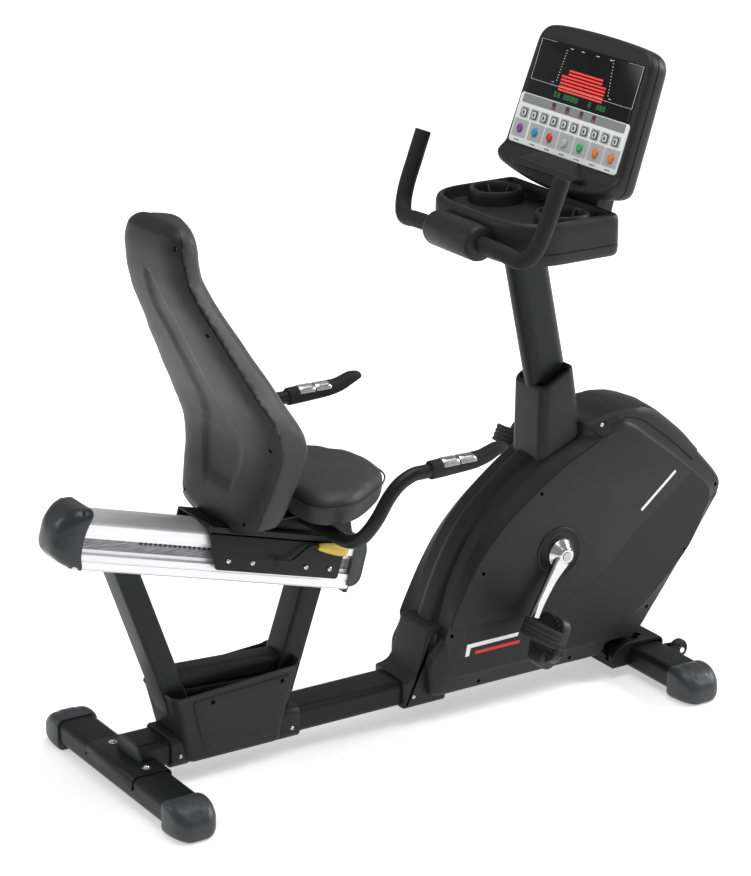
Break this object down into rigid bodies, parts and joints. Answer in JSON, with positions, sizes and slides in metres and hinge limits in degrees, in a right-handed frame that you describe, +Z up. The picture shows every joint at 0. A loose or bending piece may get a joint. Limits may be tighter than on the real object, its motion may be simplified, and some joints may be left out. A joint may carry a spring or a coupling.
{
  "type": "recumbent exercise bike",
  "caption": "Recumbent exercise bike: padded seat and tall backrest sliding on an inclined rail, enclosed belt drive with pedals, mast with cup tray, grips and console.",
  "frame": {"origin": "middle of the whole bike at floor level", "axes": "+X forward from the seat to the console, +Y to the rider's left, +Z up"},
  "size_m": [1.577, 0.596, 1.387],
  "materials": {
    "frame_paint": "fine satin powder coat",
    "housing_plastic": "moulded, fine matte texture",
    "cap_plastic": "moulded, satin",
    "rail_alloy": "anodised extrusion",
    "drive_steel": "machined",
    "crank_chrome": "polished",
    "seat_vinyl": "soft vinyl upholstery",
    "grip_foam": "soft matte foam grip",
    "black_rubber": "moulded rubber",
    "screen_gloss": "clear gloss over black",
    "keypad_white": "printed membrane",
    "knob_yellow": "moulded, satin",
    "key_purple": "domed",
    "key_blue": "domed",
    "key_red": "domed",
    "key_silver": "domed",
    "key_green": "domed",
    "key_orange": "domed"
  },
  "bodies": {
    "frame": {"main_beam": "frame_paint", "rear_stabilizer": "frame_paint", "front_stabilizer": "frame_paint", "rear_cap_left": "cap_plastic", "rear_cap_right": "cap_plastic", "front_cap_left": "cap_plastic", "front_cap_right": "cap_plastic", "rear_saddle": "frame_paint", "front_saddle": "frame_paint", "rear_leg": "frame_paint", "front_leg": "frame_paint", "leg_brace": "frame_paint", "base_cover": "housing_plastic", "seat_rail": "rail_alloy", "rail_cap_rear": "cap_plastic", "rail_cap_front": "cap_plastic", "housing_right": "housing_plastic", "housing_left": "housing_plastic", "frame_arc": "frame_paint", "top_cover": "housing_plastic", "beam_collar": "housing_plastic", "mast_sleeve": "housing_plastic", "mast": "frame_paint", "console_tray": "housing_plastic", "handlebar": "grip_foam", "console_case": "housing_plastic", "display_window": "screen_gloss", "keypad_panel": "keypad_white", "reading_ledge": "housing_plastic", "console_neck": "housing_plastic", "flywheel_axle": "drive_steel", "drive_belt": "black_rubber"},
    "left_wheel": {"transport_wheel_left": "black_rubber"},
    "right_wheel": {"transport_wheel_right": "black_rubber"},
    "crank": {"crank_spindle": "drive_steel", "drive_pulley": "drive_steel", "crank_arm_right": "crank_chrome", "crank_arm_left": "crank_chrome"},
    "right_pedal": {"pedal_right": "black_rubber", "pedal_strap_right": "black_rubber"},
    "left_pedal": {"pedal_left": "black_rubber", "pedal_strap_left": "black_rubber"},
    "drive_flywheel": {"flywheel": "drive_steel"},
    "seat": {"seat_carriage": "frame_paint", "seat_cushion": "seat_vinyl", "backrest_shell": "housing_plastic", "backrest_cushion": "seat_vinyl", "side_bar": "frame_paint", "side_grip_left": "grip_foam", "side_grip_right": "grip_foam", "lever_guide": "housing_plastic"},
    "seat_lever": {"adjust_lever": "drive_steel", "lever_knob": "knob_yellow"},
    "keycap_1": {"key_1": "key_purple"},
    "keycap_2": {"key_2": "key_blue"},
    "keycap_3": {"key_3": "key_red"},
    "keycap_4": {"key_4": "key_silver"},
    "keycap_5": {"key_5": "key_green"},
    "keycap_6": {"key_6": "key_orange"},
    "keycap_7": {"key_7": "key_orange"}
  },
  "joints": [
    {"name": "crank_spin", "type": "hinge", "parent": "frame", "child": "crank", "pos_m": [0.35159, 0, 0.324], "axis": [0, 1, 0], "continuous": true},
    {"name": "flywheel_spin", "type": "hinge", "parent": "frame", "child": "drive_flywheel", "pos_m": [0.59159, 0, 0.385], "axis": [0, 1, 0], "continuous": true},
    {"name": "right_pedal_spin", "type": "hinge", "parent": "crank", "child": "right_pedal", "pos_m": [0.26191, -0.185, 0.18431], "axis": [0, 1, 0], "continuous": true},
    {"name": "left_pedal_spin", "type": "hinge", "parent": "crank", "child": "left_pedal", "pos_m": [0.44127, 0.185, 0.46369], "axis": [0, 1, 0], "continuous": true},
    {"name": "seat_slide", "type": "slide", "parent": "frame", "child": "seat", "axis": [-0.9632, 0, 0.2689], "range_m": [0, 0.2]},
    {"name": "seat_release", "type": "hinge", "parent": "seat", "child": "seat_lever", "pos_m": [-0.37452, -0.078, 0.45689], "axis": [0, -1, 0], "range_deg": [0, 12], "stiffness_Nm_per_rad": 2, "springref_deg": -5.73},
    {"name": "left_wheel_spin", "type": "hinge", "parent": "frame", "child": "left_wheel", "pos_m": [0.66059, 0.108, 0.046], "axis": [0, 1, 0], "continuous": true},
    {"name": "right_wheel_spin", "type": "hinge", "parent": "frame", "child": "right_wheel", "pos_m": [0.66059, -0.108, 0.046], "axis": [0, 1, 0], "continuous": true},
    {"name": "key_1_press", "type": "slide", "parent": "frame", "child": "keycap_1", "axis": [0.9438, 0, -0.3305], "range_m": [0, 0.001], "stiffness_N_per_m": 600, "springref_m": -0.0003},
    {"name": "key_2_press", "type": "slide", "parent": "frame", "child": "keycap_2", "axis": [0.9438, 0, -0.3305], "range_m": [0, 0.001], "stiffness_N_per_m": 600, "springref_m": -0.0003},
    {"name": "key_3_press", "type": "slide", "parent": "frame", "child": "keycap_3", "axis": [0.9438, 0, -0.3305], "range_m": [0, 0.001], "stiffness_N_per_m": 600, "springref_m": -0.0003},
    {"name": "key_4_press", "type": "slide", "parent": "frame", "child": "keycap_4", "axis": [0.9438, 0, -0.3305], "range_m": [0, 0.001], "stiffness_N_per_m": 600, "springref_m": -0.0003},
    {"name": "key_5_press", "type": "slide", "parent": "frame", "child": "keycap_5", "axis": [0.9438, 0, -0.3305], "range_m": [0, 0.001], "stiffness_N_per_m": 600, "springref_m": -0.0003},
    {"name": "key_6_press", "type": "slide", "parent": "frame", "child": "keycap_6", "axis": [0.9438, 0, -0.3305], "range_m": [0, 0.001], "stiffness_N_per_m": 600, "springref_m": -0.0003},
    {"name": "key_7_press", "type": "slide", "parent": "frame", "child": "keycap_7", "axis": [0.9438, 0, -0.3305], "range_m": [0, 0.001], "stiffness_N_per_m": 600, "springref_m": -0.0003}
  ],
  "couplings": [
    {"joint": "flywheel_spin", "follows": "crank_spin", "ratio": 4}
  ]
}
